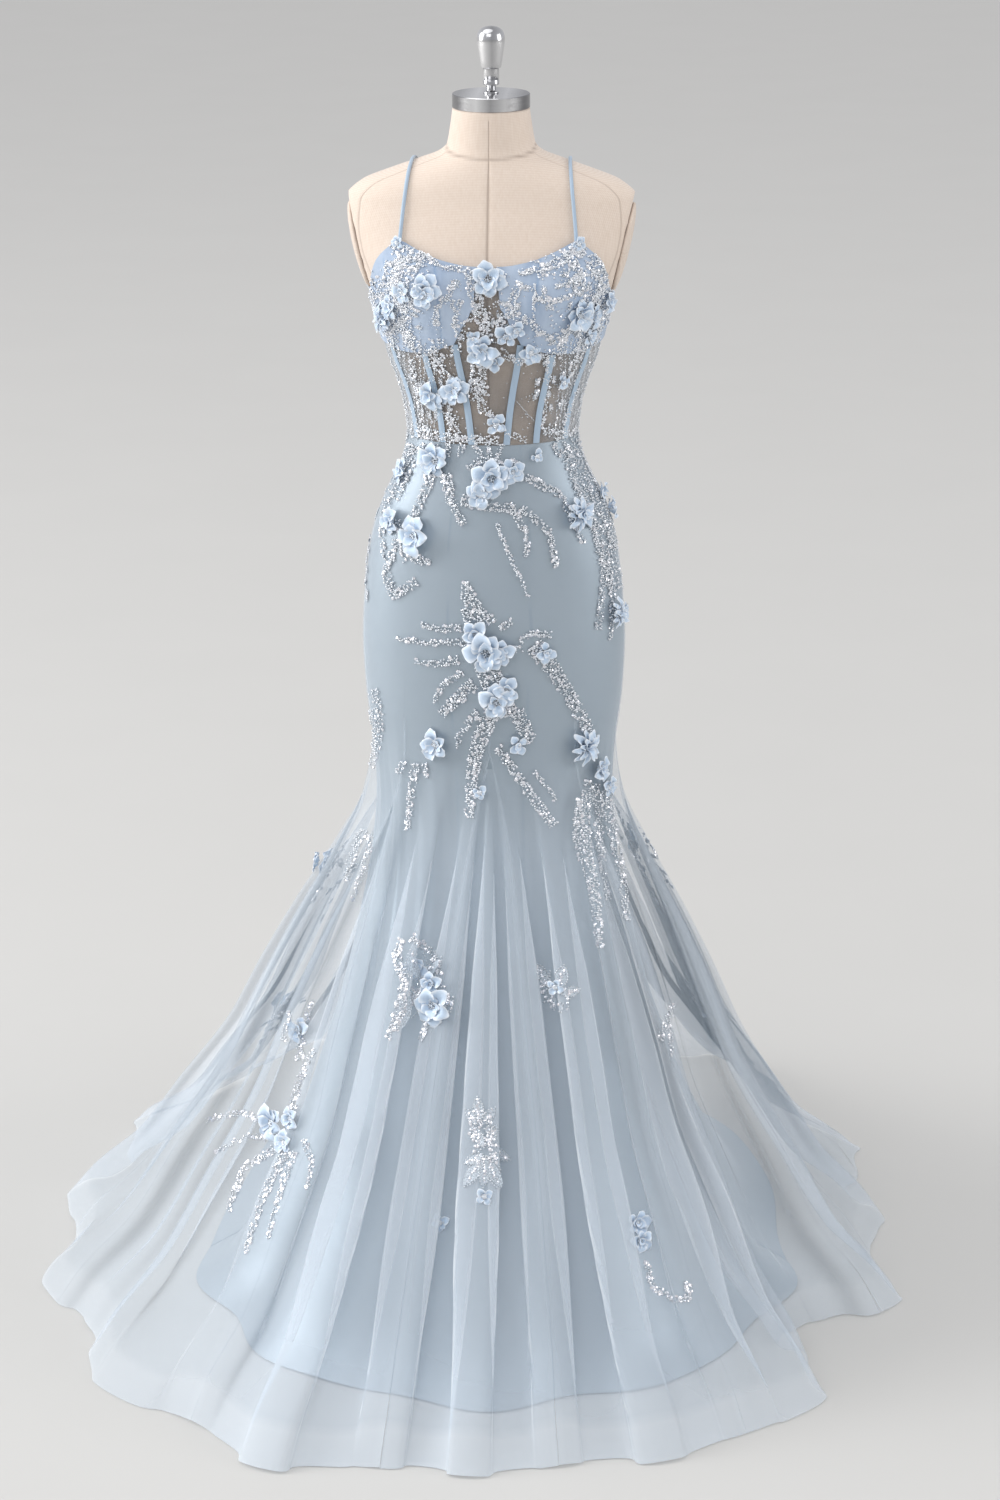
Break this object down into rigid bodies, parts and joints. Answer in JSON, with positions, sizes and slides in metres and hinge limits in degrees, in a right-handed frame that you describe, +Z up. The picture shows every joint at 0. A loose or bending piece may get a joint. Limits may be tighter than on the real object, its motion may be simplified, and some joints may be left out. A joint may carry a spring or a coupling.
{
  "type": "mermaid prom dress on a limbless dress form",
  "caption": "Floor-length mermaid dress with sheer boned bodice, satin skirt, flared tulle overlay and applied flowers, standing on a limbless dress form.",
  "frame": {"origin": "on the floor, at the middle of the underside of the dress form's round foot", "axes": "+Z up along the form's pole, -Y to the front of the dress, +X to the wearer's left"},
  "size_m": [1.2453, 1.4848, 1.7585],
  "materials": {
    "linen": "cream linen, fine plain weave",
    "chrome": "polished",
    "painted_steel": "light grey, satin",
    "cup_tulle": "light blue tulle over padded cups",
    "sheer_mesh": "sheer corset mesh",
    "satin": "matt dusty blue satin",
    "tulle": "fine pale blue tulle",
    "petal_organza": "light blue organza petals",
    "ribbon": "light blue ribbon and cord"
  },
  "bodies": {
    "root": {"form_torso": "linen", "form_arm_plate_left": "linen", "form_arm_plate_right": "linen", "form_neck_cap": "chrome", "form_handle": "chrome", "form_pole": "painted_steel", "form_foot": "painted_steel", "cup_left": "cup_tulle", "cup_right": "cup_tulle", "midriff_centre": "sheer_mesh", "midriff_front_left": "sheer_mesh", "midriff_front_right": "sheer_mesh", "bodice_back_left": "sheer_mesh", "bodice_back_right": "sheer_mesh", "boning_inner_left": "ribbon", "boning_inner_right": "ribbon", "boning_middle_left": "ribbon", "boning_middle_right": "ribbon", "boning_outer_left": "ribbon", "boning_outer_right": "ribbon", "zip_tape": "ribbon", "zip_slider": "chrome", "strap_left": "ribbon", "strap_right": "ribbon", "satin_front": "satin", "satin_back_left": "satin", "satin_back_right": "satin", "overlay_front_left": "tulle", "overlay_side_front_left": "tulle", "overlay_side_back_left": "tulle", "overlay_back_left": "tulle", "overlay_back_right": "tulle", "overlay_side_back_right": "tulle", "overlay_side_front_right": "tulle", "overlay_front_right": "tulle", "godet_centre_front": "tulle", "godet_front_left": "tulle", "godet_side_left": "tulle", "godet_back_left": "tulle", "godet_centre_back": "tulle", "godet_back_right": "tulle", "godet_side_right": "tulle", "godet_front_right": "tulle", "flower_neckline": "petal_organza", "flower_cup_right": "petal_organza", "flower_cup_side_right": "petal_organza", "flower_cup_side_left": "petal_organza", "flower_bust": "petal_organza", "flower_midriff_right": "petal_organza", "flower_waist_right": "petal_organza", "flower_waist_centre": "petal_organza", "flower_hip_right": "petal_organza", "flower_hip_left": "petal_organza", "flower_thigh_left": "petal_organza", "flower_thigh_centre": "petal_organza", "flower_knee_centre": "petal_organza", "flower_knee_right": "petal_organza", "flower_knee_left": "petal_organza", "flower_sweep_front": "petal_organza", "flower_sweep_right": "petal_organza"}
  },
  "joints": []
}
